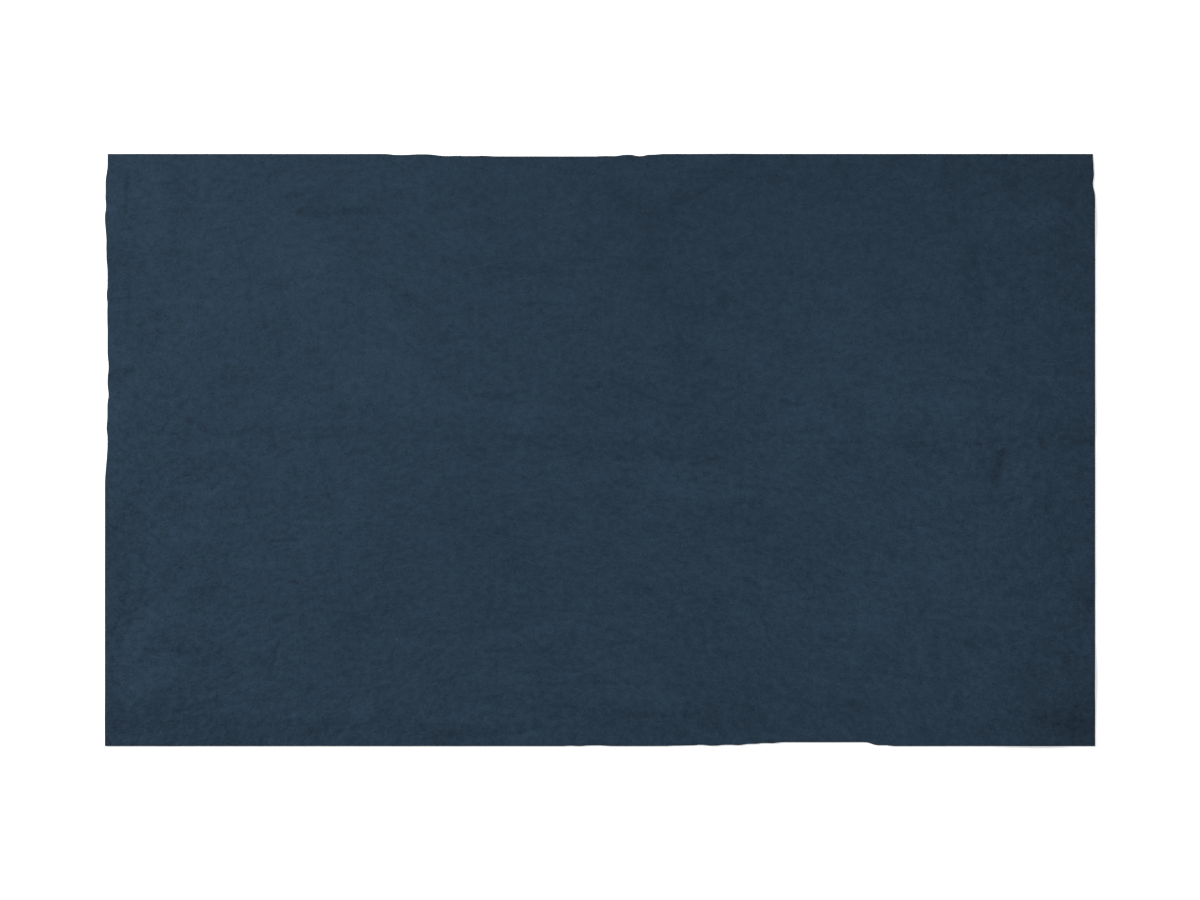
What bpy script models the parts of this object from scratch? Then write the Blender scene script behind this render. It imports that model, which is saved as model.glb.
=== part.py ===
"""Fleece blanket, laid out flat: one rectangle of thin brushed fleece with plain cut edges.

Metres, +Z up. The origin is on the resting surface, under the middle of the blanket. +X runs along
its long side and +Y along its short side. The cloth is flat on the surface except where a soft
fold lifts it, and its edges draw in a few millimetres where they were cut or pulled unevenly.
"""

import math
from collections import namedtuple

import bpy

# Driving dimensions.
LENGTH = 1.500
WIDTH = 0.897
THICKNESS = 0.0025
CELL = 0.020

# How wide a fold is at its tips, as a share of its width in the middle.
FOLD_TIP = 0.55

# How the dyed fleece looks.
FLEECE_BLUE = (0.023, 0.042, 0.065, 1.0)
FLEECE_ROUGHNESS = 0.95

# Where a side of the blanket draws in. Along that side the edge begins to leave the straight line
# at start, is in by depth from full to leave, and is back on the line at end. A stretch that ends
# past a corner takes the corner in with it.
Dip = namedtuple("Dip", "side start full leave end depth")
DIPS = (
    Dip("left", -0.055, 0.020, 0.250, 0.345, 0.0040),
    Dip("left", 0.395, 0.450, 0.600, 0.700, 0.0054),
    Dip("right", 0.384, 0.400, 0.600, 0.700, 0.0020),
    Dip("right", 0.426, 0.450, 0.600, 0.700, 0.0034),
    Dip("top", -0.290, -0.170, 0.000, 0.050, 0.0038),
    Dip("top", 0.040, 0.056, 0.066, 0.078, 0.0034),
    Dip("bottom", -0.060, -0.020, -0.010, 0.030, 0.0008),
    Dip("bottom", 0.095, 0.140, 0.180, 0.220, 0.0012),
    Dip("bottom", 0.200, 0.285, 0.395, 0.430, 0.0059),
)

# The soft folds. A fold's crest runs from one tip to the other, its middle is bow to the left of
# the straight line between them, and the cloth is lifted by height there. The lift fades out
# towards the tips, and within reach on either side of the crest.
Fold = namedtuple("Fold", "from_x from_y to_x to_y bow reach height")
FOLDS = {
    "above the middle crease, left run": Fold(-0.950, 0.058, -0.020, 0.050, 0.000, 0.044, 0.0018),
    "above the middle crease, right run": Fold(0.150, 0.062, 0.950, 0.044, 0.000, 0.044, 0.0022),
    "below the middle crease": Fold(-0.160, -0.028, 0.370, -0.100, 0.000, 0.044, 0.0028),
    "curved ripple, upper left": Fold(-0.510, 0.318, -0.200, 0.110, 0.020, 0.044, 0.0030),
    "short ripple, upper left": Fold(-0.540, 0.396, -0.280, 0.376, 0.004, 0.034, 0.0024),
    "ripple along the left end": Fold(-0.672, 0.530, -0.655, 0.210, 0.000, 0.036, 0.0018),
    "long slant above the middle": Fold(0.000, 0.430, 0.120, 0.070, 0.012, 0.046, 0.0020),
    "slant to the top edge": Fold(0.030, 0.330, 0.270, 0.500, -0.004, 0.036, 0.0022),
    "ripple, upper right": Fold(0.490, 0.292, 0.850, 0.360, 0.006, 0.042, 0.0024),
    "short slant, upper right": Fold(0.530, 0.345, 0.565, 0.160, 0.004, 0.036, 0.0016),
    "left of the short crease": Fold(0.580, 0.050, 0.566, -0.070, 0.000, 0.034, 0.0018),
    "right of the short crease": Fold(0.672, 0.036, 0.648, -0.130, 0.000, 0.038, 0.0030),
    "bulge in the right end": Fold(0.694, -0.310, 0.734, -0.150, 0.000, 0.034, 0.0026),
    "upper slant, lower right": Fold(0.320, -0.160, 0.610, -0.262, 0.010, 0.044, 0.0024),
    "lower slant, lower right": Fold(0.230, -0.238, 0.480, -0.318, 0.006, 0.040, 0.0024),
    "corner slant, lower right": Fold(0.560, -0.520, 0.830, -0.260, -0.015, 0.055, 0.0026),
    "long ripple, lower middle": Fold(-0.200, -0.302, 0.210, -0.302, 0.010, 0.040, 0.0022),
    "short ripple, lower middle": Fold(-0.060, -0.384, 0.210, -0.394, 0.004, 0.036, 0.0024),
    "ripple at the lower edge": Fold(-0.330, -0.410, -0.050, -0.424, 0.004, 0.032, 0.0024),
    "slant, lower left": Fold(-0.490, -0.432, -0.280, -0.382, 0.004, 0.036, 0.0024),
    "corner slant, lower left": Fold(-0.800, -0.450, -0.550, -0.305, 0.010, 0.044, 0.0022),
    "inner slant, lower left": Fold(-0.735, -0.350, -0.575, -0.190, 0.008, 0.040, 0.0020),
    "end slant, lower left": Fold(-0.680, -0.205, -0.555, -0.035, 0.006, 0.042, 0.0018),
}


def clear_scene():
    for thing in list(bpy.data.objects):
        bpy.data.objects.remove(thing, do_unlink=True)


def smooth_step(value):
    """0 up to 0, 1 from 1 on, and a smooth rise between them."""
    value = min(max(value, 0.0), 1.0)
    return value * value * (3.0 - 2.0 * value)


def bell(value):
    """1 at 0, falling smoothly to 0 at 1 on either side."""
    return max(1.0 - value * value, 0.0) ** 2


def draw_in(side, along):
    """How far this side's edge is inside the straight line, at a place along the side."""
    inset = 0.0
    for dip in DIPS:
        if dip.side == side:
            rise = smooth_step((along - dip.start) / (dip.full - dip.start))
            fall = smooth_step((dip.end - along) / (dip.end - dip.leave))
            inset += dip.depth * rise * fall
    return inset


def in_outline(x, y):
    """The place in the uneven outline of a point of the plain rectangle."""
    left = -LENGTH / 2 + draw_in("left", y)
    right = LENGTH / 2 - draw_in("right", y)
    bottom = -WIDTH / 2 + draw_in("bottom", x)
    top = WIDTH / 2 - draw_in("top", x)
    across = x / LENGTH + 0.5
    up = y / WIDTH + 0.5
    return left + (right - left) * across, bottom + (top - bottom) * up


def lift_of(fold, x, y):
    """How far one fold lifts the cloth off the surface at a point."""
    run_x = fold.to_x - fold.from_x
    run_y = fold.to_y - fold.from_y
    run = math.hypot(run_x, run_y)
    from_x = x - fold.from_x
    from_y = y - fold.from_y
    along = (from_x * run_x + from_y * run_y) / run**2
    aside = (from_y * run_x - from_x * run_y) / run
    arch = max(4.0 * along * (1.0 - along), 0.0)
    swell = smooth_step(arch)
    reach = fold.reach * (FOLD_TIP + (1.0 - FOLD_TIP) * swell)
    return fold.height * swell * bell((aside - fold.bow * arch) / reach)


def fleece_material():
    fleece = bpy.data.materials.new("fleece")
    fleece.use_nodes = True
    shader = fleece.node_tree.nodes["Principled BSDF"]
    shader.inputs["Base Color"].default_value = FLEECE_BLUE
    shader.inputs["Roughness"].default_value = FLEECE_ROUGHNESS
    shader.inputs["Metallic"].default_value = 0.0
    return fleece


def fleece_sheet():
    """The whole blanket: a grid on the surface, shaped and then given the cloth's thickness."""
    bpy.ops.mesh.primitive_grid_add(
        x_subdivisions=round(LENGTH / CELL),
        y_subdivisions=round(WIDTH / CELL),
        size=1.0,
    )
    sheet = bpy.context.active_object
    sheet.name = "fleece_sheet"
    sheet.data.name = "fleece_sheet"
    for point in sheet.data.vertices:
        x, y = in_outline(point.co.x * LENGTH, point.co.y * WIDTH)
        point.co = (x, y, sum(lift_of(fold, x, y) for fold in FOLDS.values()))
    sheet.data.shade_smooth()
    sheet.data.materials.append(fleece_material())
    wall = sheet.modifiers.new("cloth thickness", "SOLIDIFY")
    wall.thickness = THICKNESS
    wall.offset = 1.0
    return sheet


clear_scene()
blanket = bpy.data.collections.new("fleece blanket")
bpy.context.scene.collection.children.link(blanket)
piece = fleece_sheet()
for holder in list(piece.users_collection):
    holder.objects.unlink(piece)
blanket.objects.link(piece)
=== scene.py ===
"""Fleece blanket, spread out flat on a pale floor: one plain cut piece of thin brushed fleece.

Metres, +Z up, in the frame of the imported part: the cloth rests on z = 0, with its long side along X.
"""

import math
from collections import namedtuple

import bmesh
import bpy
import numpy as np
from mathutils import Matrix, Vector, noise


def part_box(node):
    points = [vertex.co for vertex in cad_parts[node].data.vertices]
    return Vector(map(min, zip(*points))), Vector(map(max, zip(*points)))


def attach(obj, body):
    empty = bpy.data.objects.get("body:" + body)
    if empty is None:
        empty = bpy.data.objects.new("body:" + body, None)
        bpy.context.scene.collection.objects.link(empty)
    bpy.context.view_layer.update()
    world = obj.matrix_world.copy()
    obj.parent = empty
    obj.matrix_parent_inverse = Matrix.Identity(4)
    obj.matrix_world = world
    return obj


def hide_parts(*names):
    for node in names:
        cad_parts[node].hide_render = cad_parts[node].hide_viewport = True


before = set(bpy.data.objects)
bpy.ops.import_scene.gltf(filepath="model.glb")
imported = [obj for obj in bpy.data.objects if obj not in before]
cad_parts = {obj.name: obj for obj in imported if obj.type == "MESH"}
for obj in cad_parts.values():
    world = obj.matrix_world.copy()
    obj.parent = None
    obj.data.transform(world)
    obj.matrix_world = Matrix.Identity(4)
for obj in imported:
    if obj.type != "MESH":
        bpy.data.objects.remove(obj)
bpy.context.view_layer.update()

# ---------------------------------------------------------------------------------------------
# The fleece sheet. One length of polyester fleece, knitted, then brushed until both faces are a
# short dense nap, and cut to size with nothing sewn on. It starts as a flat slab of even
# thickness with softly rounded cut edges.
# ---------------------------------------------------------------------------------------------

low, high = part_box("fleece_sheet")
LENGTH = high.x - low.x
WIDTH = high.y - low.y
THICKNESS = 0.0025
CELLS_LONG = 84
CELLS_SHORT = 56
FACE_CUTS = 2
CREASE_CUTS = 2
CREASE_MARGIN = 0.0020
EDGE_ROUND = 0.0009
UNDER_ROUND = 0.0005

# How far the normal of a face rises: less than WALL_RISE on the cut wall, more than FLAT_RISE on
# the flat of the upper face.
WALL_RISE = 0.5
FLAT_RISE = 0.99


def select_faces(mesh, wanted):
    """Selects in edit mode the faces that wanted() picks."""
    bpy.ops.mesh.select_all(action="DESELECT")
    bpy.ops.mesh.select_mode(type="FACE")
    shape = bmesh.from_edit_mesh(mesh)
    for face in shape.faces:
        face.select = wanted(face)
    shape.select_flush(True)
    bmesh.update_edit_mesh(mesh)


def select_edges(mesh, wanted):
    """Selects in edit mode the edges that wanted() picks."""
    bpy.ops.mesh.select_all(action="DESELECT")
    bpy.ops.mesh.select_mode(type="EDGE")
    shape = bmesh.from_edit_mesh(mesh)
    for edge in shape.edges:
        edge.select = wanted(edge)
    bmesh.update_edit_mesh(mesh)


def is_wall(face):
    return abs(face.normal.z) < WALL_RISE


def between_wall_and(side):
    """Picks the edges where the cut wall meets the upper face, side 1, or the under face, side -1."""

    def picks(edge):
        walls = [is_wall(face) for face in edge.link_faces]
        flats = [face.normal.z * side > FLAT_RISE for face in edge.link_faces]
        return any(walls) and any(flats)

    return picks


bpy.ops.object.select_all(action="DESELECT")
bpy.ops.mesh.primitive_grid_add(
    x_subdivisions=CELLS_LONG, y_subdivisions=CELLS_SHORT, size=1.0
)
sheet = bpy.context.active_object
sheet.name = "fleece_cloth"
sheet.data.name = "fleece_cloth"
bpy.ops.object.mode_set(mode="EDIT")
bpy.ops.transform.resize(value=(LENGTH, WIDTH, 1.0), center_override=(0, 0, 0))
bpy.ops.object.mode_set(mode="OBJECT")
slab = sheet.modifiers.new("cloth thickness", "SOLIDIFY")
slab.thickness = THICKNESS
slab.offset = 1.0
bpy.ops.object.modifier_apply(modifier=slab.name)
bpy.ops.object.mode_set(mode="EDIT")
select_faces(sheet.data, lambda face: face.normal.z > -WALL_RISE)
bpy.ops.mesh.subdivide(number_cuts=FACE_CUTS)
select_edges(sheet.data, between_wall_and(1))
bpy.ops.mesh.bevel(offset=EDGE_ROUND, segments=3, affect="EDGES")
select_edges(sheet.data, between_wall_and(-1))
bpy.ops.mesh.bevel(offset=UNDER_ROUND, segments=1, affect="EDGES")
bpy.ops.object.mode_set(mode="OBJECT")

# The outline. The cloth was cut by eye and lies a little uneven: a side draws in by depth from
# full to leave, and is on the straight line before start and after end. With a depth below 0 it
# comes out again by so much. A dip that ends past a corner takes the corner in with it.
Dip = namedtuple("Dip", "side start full leave end depth")
DIPS = (
    Dip("left", -0.055, 0.012, 0.260, 0.350, 0.0040),
    Dip("left", 0.020, 0.032, 0.034, 0.048, -0.0013),
    Dip("left", 0.070, 0.082, 0.086, 0.098, 0.0015),
    Dip("left", 0.110, 0.122, 0.128, 0.146, 0.0015),
    Dip("left", 0.184, 0.196, 0.212, 0.224, -0.0004),
    Dip("left", 0.221, 0.233, 0.236, 0.248, -0.0013),
    Dip("left", 0.276, 0.288, 0.290, 0.300, -0.0006),
    Dip("left", 0.303, 0.318, 0.326, 0.350, 0.0011),
    Dip("left", 0.355, 0.367, 0.372, 0.386, 0.0016),
    Dip("left", 0.375, 0.390, 0.600, 0.700, 0.0010),
    Dip("left", 0.405, 0.432, 0.600, 0.700, 0.0031),
    Dip("right", -0.400, -0.355, -0.350, -0.300, 0.0006),
    Dip("right", 0.305, 0.340, 0.350, 0.375, 0.0006),
    Dip("right", 0.382, 0.400, 0.600, 0.700, 0.0018),
    Dip("right", 0.390, 0.402, 0.406, 0.416, 0.0014),
    Dip("right", 0.418, 0.428, 0.600, 0.700, 0.0006),
    Dip("right", 0.430, 0.446, 0.600, 0.700, 0.0010),
    Dip("top", -0.328, -0.312, 0.022, 0.040, 0.0006),
    Dip("top", -0.328, -0.312, -0.296, -0.278, 0.0008),
    Dip("top", -0.264, -0.236, 0.022, 0.040, 0.0026),
    Dip("top", -0.228, -0.219, -0.217, -0.208, -0.0005),
    Dip("top", -0.190, -0.179, -0.177, -0.168, -0.0005),
    Dip("top", -0.172, -0.158, -0.006, 0.002, 0.0006),
    Dip("top", 0.022, 0.040, 0.080, 0.098, 0.0012),
    Dip("top", 0.046, 0.058, 0.063, 0.074, 0.0022),
    Dip("bottom", -0.056, -0.046, -0.044, -0.034, 0.0006),
    Dip("bottom", -0.030, -0.016, 0.000, 0.018, 0.0009),
    Dip("bottom", 0.098, 0.114, 0.402, 0.424, 0.0006),
    Dip("bottom", 0.120, 0.132, 0.146, 0.168, 0.0004),
    Dip("bottom", 0.140, 0.151, 0.155, 0.167, 0.0010),
    Dip("bottom", 0.174, 0.189, 0.200, 0.214, 0.0013),
    Dip("bottom", 0.204, 0.227, 0.402, 0.424, 0.0027),
    Dip("bottom", 0.235, 0.247, 0.252, 0.263, 0.0012),
    Dip("bottom", 0.250, 0.280, 0.402, 0.424, 0.0026),
    Dip("bottom", 0.414, 0.424, 0.434, 0.445, 0.0013),
)


def smooth_step(value):
    """0 up to 0, 1 from 1 on, and a smooth rise between them."""
    value = np.clip(value, 0.0, 1.0)
    return value * value * (3.0 - 2.0 * value)


def bell(value):
    """1 at 0, falling smoothly to 0 at 1 on either side."""
    return np.maximum(1.0 - value * value, 0.0) ** 2


def draw_in(side, along):
    """How far this side's edge is inside the straight line, at places along the side."""
    inset = np.zeros_like(along)
    for dip in DIPS:
        if dip.side == side:
            rise = smooth_step((along - dip.start) / (dip.full - dip.start))
            fall = smooth_step((dip.end - along) / (dip.end - dip.leave))
            inset += dip.depth * rise * fall
    return inset


def in_outline(x, y):
    """The places in the uneven outline of points of the plain rectangle."""
    left = low.x + draw_in("left", y)
    right = high.x - draw_in("right", y)
    bottom = low.y + draw_in("bottom", x)
    top = high.y - draw_in("top", x)
    across = (x - low.x) / LENGTH
    up = (y - low.y) / WIDTH
    return left + (right - left) * across, bottom + (top - bottom) * up


# The soft folds, where the whole cloth stands off the floor. A fold's crest runs from one tip to
# the other, its middle is bow to the left of the straight line, and it fades out towards the tips
# and within reach on either side.
Fold = namedtuple("Fold", "from_x from_y to_x to_y bow reach height")
FOLDS = (
    # Beside the crease that folding in half left along the middle.
    Fold(-0.950, 0.058, -0.020, 0.050, 0.000, 0.044, 0.0018),
    Fold(0.150, 0.062, 0.950, 0.044, 0.000, 0.044, 0.0022),
    Fold(-0.160, -0.028, 0.370, -0.100, 0.000, 0.044, 0.0028),
    # Upper left.
    Fold(-0.510, 0.318, -0.200, 0.110, 0.020, 0.044, 0.0030),
    Fold(-0.540, 0.396, -0.280, 0.376, 0.004, 0.034, 0.0024),
    Fold(-0.672, 0.530, -0.655, 0.210, 0.000, 0.036, 0.0014),
    # Above the middle.
    Fold(0.000, 0.430, 0.120, 0.070, 0.012, 0.046, 0.0020),
    Fold(0.030, 0.330, 0.270, 0.500, -0.004, 0.036, 0.0022),
    # Upper right.
    Fold(0.490, 0.292, 0.850, 0.360, 0.006, 0.042, 0.0024),
    Fold(0.530, 0.345, 0.565, 0.160, 0.004, 0.036, 0.0016),
    # The right end, either side of its short upright crease, and its bulge.
    Fold(0.580, 0.050, 0.566, -0.070, 0.000, 0.034, 0.0018),
    Fold(0.672, 0.036, 0.648, -0.130, 0.000, 0.038, 0.0030),
    Fold(0.694, -0.310, 0.734, -0.150, 0.000, 0.034, 0.0026),
    # Lower right.
    Fold(0.320, -0.160, 0.610, -0.262, 0.010, 0.044, 0.0024),
    Fold(0.230, -0.238, 0.480, -0.318, 0.006, 0.040, 0.0024),
    Fold(0.560, -0.520, 0.830, -0.260, -0.015, 0.055, 0.0026),
    # Below the middle.
    Fold(-0.200, -0.302, 0.210, -0.302, 0.010, 0.040, 0.0022),
    Fold(-0.060, -0.384, 0.210, -0.394, 0.004, 0.036, 0.0024),
    Fold(-0.330, -0.410, -0.050, -0.424, 0.004, 0.032, 0.0024),
    # Lower left.
    Fold(-0.490, -0.432, -0.280, -0.382, 0.004, 0.036, 0.0024),
    Fold(-0.800, -0.450, -0.550, -0.305, 0.010, 0.044, 0.0022),
    Fold(-0.735, -0.350, -0.575, -0.190, 0.008, 0.040, 0.0020),
    Fold(-0.680, -0.205, -0.555, -0.035, 0.006, 0.042, 0.0018),
)
FOLD_TIP = 0.55
FOLD_FULL = 1.0


def stroke(line, x, y, tip, full):
    """How much of a fold or crease is at each point: 1 on its middle, 0 beyond its reach.

    At its tips it is as wide as the share tip of its reach. The larger full is, the nearer to its
    tips it is at full strength.
    """
    run_x = line.to_x - line.from_x
    run_y = line.to_y - line.from_y
    run = math.hypot(run_x, run_y)
    from_x = x - line.from_x
    from_y = y - line.from_y
    along = (from_x * run_x + from_y * run_y) / run**2
    aside = (from_y * run_x - from_x * run_y) / run
    arch = np.maximum(4.0 * along * (1.0 - along), 0.0)
    swell = smooth_step(full * arch)
    reach = line.reach * (tip + (1.0 - tip) * swell)
    return swell * bell((aside - line.bow * arch) / reach)


# The creases, where the nap of the upper face is pressed in along a line, by depth. With a depth
# below 0 it stands up instead. The slab is cut finer along them, so that they come out crisp.
Crease = namedtuple("Crease", "from_x from_y to_x to_y bow reach depth")
CREASES = (
    # The middle crease, in the runs in which it shows.
    Crease(-0.745, 0.022, -0.690, 0.020, 0.000, 0.006, 0.0003),
    Crease(-0.690, 0.024, -0.630, 0.024, 0.000, 0.006, 0.0004),
    Crease(-0.600, 0.021, -0.540, 0.022, 0.001, 0.006, 0.0002),
    Crease(-0.524, 0.023, -0.486, 0.022, 0.000, 0.008, 0.0005),
    Crease(-0.476, 0.024, -0.420, 0.031, 0.001, 0.004, 0.0005),
    Crease(-0.470, 0.018, -0.300, 0.010, 0.000, 0.006, 0.0002),
    Crease(-0.265, 0.012, -0.226, 0.008, 0.000, 0.006, 0.0004),
    Crease(-0.238, -0.003, -0.205, -0.005, 0.000, 0.004, 0.0003),
    Crease(-0.214, -0.001, -0.166, -0.004, 0.001, 0.004, 0.0005),
    Crease(-0.142, 0.015, -0.024, 0.014, 0.001, 0.005, 0.0005),
    Crease(-0.114, 0.012, -0.040, -0.011, 0.002, 0.005, 0.0007),
    Crease(0.018, -0.009, 0.078, -0.031, 0.001, 0.007, 0.0005),
    Crease(0.080, -0.006, 0.128, -0.019, 0.000, 0.006, 0.0006),
    Crease(0.128, -0.027, 0.192, -0.011, -0.001, 0.007, 0.0005),
    Crease(0.166, 0.008, 0.197, 0.007, 0.000, 0.004, 0.0005),
    Crease(0.200, 0.018, 0.234, 0.009, 0.000, 0.005, 0.0005),
    Crease(0.236, 0.013, 0.300, 0.011, 0.000, 0.004, 0.0003),
    Crease(0.290, 0.012, 0.424, 0.009, -0.001, 0.005, 0.0006),
    Crease(0.420, 0.014, 0.482, 0.014, 0.001, 0.009, 0.0003),
    Crease(0.466, 0.007, 0.512, 0.003, 0.000, 0.011, 0.0006),
    Crease(0.500, 0.000, 0.550, -0.010, 0.000, 0.005, 0.0006),
    Crease(0.549, 0.007, 0.582, 0.006, 0.000, 0.007, 0.0008),
    Crease(0.577, 0.032, 0.572, 0.004, 0.000, 0.006, 0.0007),
    Crease(0.588, 0.012, 0.652, 0.013, 0.001, 0.005, 0.0004),
    Crease(0.645, 0.021, 0.684, 0.008, 0.001, 0.006, 0.0005),
    Crease(0.669, 0.022, 0.676, 0.000, 0.000, 0.007, 0.0005),
    Crease(0.688, 0.013, 0.765, 0.012, 0.002, 0.012, 0.0007),
    # Upper left: the ripples round the corner of the big fold.
    Crease(-0.462, 0.360, -0.400, 0.355, 0.000, 0.010, 0.0010),
    Crease(-0.395, 0.359, -0.345, 0.361, 0.000, 0.009, 0.0005),
    Crease(-0.424, 0.317, -0.384, 0.318, 0.001, 0.008, 0.0008),
    Crease(-0.386, 0.316, -0.340, 0.309, 0.000, 0.008, 0.0006),
    Crease(-0.398, 0.291, -0.352, 0.289, 0.001, 0.006, 0.0004),
    Crease(-0.494, 0.247, -0.468, 0.246, 0.000, 0.006, 0.0008),
    Crease(-0.370, 0.278, -0.324, 0.250, 0.001, 0.007, 0.0006),
    Crease(-0.320, 0.250, -0.278, 0.216, 0.001, 0.007, 0.0004),
    Crease(-0.270, 0.206, -0.232, 0.150, 0.002, 0.006, 0.0003),
    Crease(-0.508, 0.411, -0.460, 0.430, -0.001, 0.009, 0.0007),
    Crease(-0.480, 0.382, -0.440, 0.386, 0.001, 0.007, 0.0009),
    Crease(-0.302, 0.058, -0.258, 0.077, -0.002, 0.004, 0.0004),
    Crease(-0.362, 0.058, -0.322, 0.057, 0.000, 0.004, 0.0003),
    Crease(-0.504, 0.101, -0.478, 0.081, 0.000, 0.004, 0.0003),
    Crease(-0.432, 0.092, -0.402, 0.070, 0.000, 0.004, 0.0003),
    Crease(-0.190, 0.240, -0.196, 0.176, 0.003, 0.004, 0.0002),
    # Left end.
    Crease(-0.744, 0.106, -0.700, 0.125, 0.000, 0.012, 0.0006),
    Crease(-0.713, 0.440, -0.718, 0.345, 0.000, 0.007, 0.0004),
    Crease(-0.737, 0.282, -0.690, 0.269, 0.001, 0.006, 0.0004),
    Crease(-0.566, 0.145, -0.561, 0.092, 0.000, 0.005, 0.0003),
    Crease(-0.744, -0.300, -0.714, -0.210, -0.002, 0.006, 0.0006),
    Crease(-0.716, -0.268, -0.682, -0.208, 0.001, 0.006, 0.0005),
    Crease(-0.592, -0.067, -0.570, -0.042, 0.000, 0.007, 0.0005),
    Crease(-0.670, -0.035, -0.634, -0.013, 0.000, 0.006, 0.0004),
    Crease(-0.656, -0.052, -0.622, -0.082, 0.000, 0.006, 0.0003),
    Crease(-0.567, -0.060, -0.562, -0.090, 0.000, 0.005, 0.0004),
    Crease(-0.504, -0.141, -0.455, -0.139, 0.003, 0.004, 0.0009),
    Crease(-0.470, -0.122, -0.424, -0.134, 0.001, 0.004, 0.0004),
    Crease(-0.416, -0.052, -0.403, -0.087, 0.000, 0.004, 0.0007),
    Crease(-0.462, -0.106, -0.414, -0.103, 0.000, 0.005, 0.0003),
    Crease(-0.462, -0.114, -0.310, -0.106, 0.000, 0.004, -0.0006),
    Crease(-0.324, -0.101, -0.290, -0.103, 0.000, 0.004, 0.0003),
    Crease(-0.358, -0.203, -0.300, -0.195, 0.000, 0.007, 0.0005),
    Crease(-0.502, -0.205, -0.485, -0.195, 0.000, 0.004, 0.0008),
    Crease(-0.488, -0.195, -0.418, -0.219, 0.002, 0.004, 0.0008),
    Crease(-0.432, -0.170, -0.412, -0.191, 0.000, 0.004, 0.0003),
    Crease(-0.497, -0.263, -0.466, -0.249, 0.000, 0.006, 0.0004),
    Crease(-0.484, -0.290, -0.501, -0.346, 0.001, 0.005, 0.0008),
    Crease(-0.457, -0.297, -0.426, -0.298, 0.000, 0.005, 0.0003),
    Crease(-0.372, -0.258, -0.358, -0.300, 0.000, 0.006, 0.0006),
    # Above the middle.
    Crease(0.108, 0.369, 0.170, 0.399, -0.003, 0.005, 0.0006),
    Crease(0.160, 0.392, 0.200, 0.420, 0.000, 0.005, 0.0003),
    Crease(0.112, 0.344, 0.148, 0.326, 0.003, 0.005, 0.0006),
    Crease(0.196, 0.353, 0.213, 0.368, 0.000, 0.005, 0.0006),
    Crease(-0.180, 0.276, -0.110, 0.271, 0.000, 0.006, 0.0006),
    Crease(-0.112, 0.271, -0.072, 0.269, 0.000, 0.005, 0.0005),
    Crease(-0.112, 0.222, -0.058, 0.220, 0.000, 0.006, 0.0007),
    Crease(-0.060, 0.203, 0.004, 0.199, 0.000, 0.004, 0.0004),
    Crease(-0.194, 0.079, -0.130, 0.082, 0.000, 0.010, 0.0009),
    Crease(-0.078, 0.079, -0.036, 0.065, 0.001, 0.006, 0.0005),
    Crease(-0.048, 0.112, 0.014, 0.108, 0.001, 0.004, 0.0005),
    Crease(-0.024, 0.092, 0.004, 0.092, 0.000, 0.005, 0.0008),
    Crease(-0.254, 0.107, -0.220, 0.112, 0.000, 0.006, 0.0007),
    Crease(-0.222, 0.167, -0.200, 0.171, 0.000, 0.005, 0.0005),
    Crease(0.078, 0.247, 0.120, 0.244, 0.000, 0.006, 0.0004),
    # Upper right.
    Crease(0.425, 0.219, 0.472, 0.205, 0.002, 0.005, 0.0004),
    Crease(0.598, 0.251, 0.650, 0.241, -0.002, 0.006, 0.0008),
    Crease(0.268, 0.074, 0.316, 0.066, -0.001, 0.006, 0.0012),
    Crease(0.270, 0.266, 0.298, 0.269, 0.000, 0.007, 0.0007),
    Crease(0.350, 0.072, 0.385, 0.055, 0.000, 0.006, 0.0009),
    Crease(0.476, 0.063, 0.502, 0.051, 0.000, 0.007, 0.0006),
    Crease(0.258, 0.121, 0.282, 0.106, 0.000, 0.004, 0.0003),
    Crease(0.540, 0.362, 0.541, 0.338, 0.000, 0.005, 0.0004),
    # Right end: the short upright crease, and the marks round it.
    Crease(0.597, -0.060, 0.615, 0.004, -0.001, 0.012, 0.0013),
    Crease(0.592, 0.036, 0.614, 0.051, 0.000, 0.006, 0.0005),
    Crease(0.650, 0.062, 0.681, 0.089, 0.000, 0.009, 0.0007),
    Crease(0.562, -0.080, 0.606, -0.083, 0.000, 0.007, 0.0008),
    Crease(0.604, -0.084, 0.668, -0.071, 0.002, 0.005, 0.0005),
    Crease(0.684, -0.060, 0.734, -0.057, 0.001, 0.007, 0.0005),
    Crease(0.690, -0.148, 0.714, -0.170, 0.000, 0.004, 0.0005),
    Crease(0.696, -0.185, 0.724, -0.207, 0.001, 0.005, 0.0007),
    Crease(0.714, -0.211, 0.757, -0.240, 0.000, 0.010, 0.0006),
    Crease(0.638, -0.183, 0.662, -0.214, 0.000, 0.005, 0.0004),
    Crease(0.573, -0.211, 0.610, -0.224, -0.003, 0.005, 0.0005),
    Crease(0.655, -0.288, 0.692, -0.299, 0.000, 0.006, 0.0004),
    # Below the middle: long shallow ripples.
    Crease(0.168, -0.048, 0.240, -0.057, -0.001, 0.006, 0.0007),
    Crease(0.232, -0.055, 0.305, -0.071, 0.001, 0.005, 0.0005),
    Crease(0.198, -0.075, 0.242, -0.084, 0.002, 0.006, 0.0006),
    Crease(0.204, -0.064, 0.250, -0.072, 0.003, 0.004, -0.0004),
    Crease(0.006, -0.055, 0.058, -0.057, 0.000, 0.007, 0.0004),
    Crease(0.074, -0.080, 0.126, -0.077, 0.000, 0.004, 0.0006),
    Crease(0.298, -0.054, 0.317, -0.076, 0.000, 0.004, 0.0004),
    Crease(0.424, -0.066, 0.452, -0.102, 0.000, 0.005, 0.0006),
    Crease(0.407, -0.039, 0.426, -0.053, 0.000, 0.005, 0.0004),
    Crease(0.358, -0.125, 0.412, -0.151, 0.000, 0.004, 0.0005),
    Crease(-0.062, -0.246, -0.028, -0.242, 0.000, 0.004, 0.0004),
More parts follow.
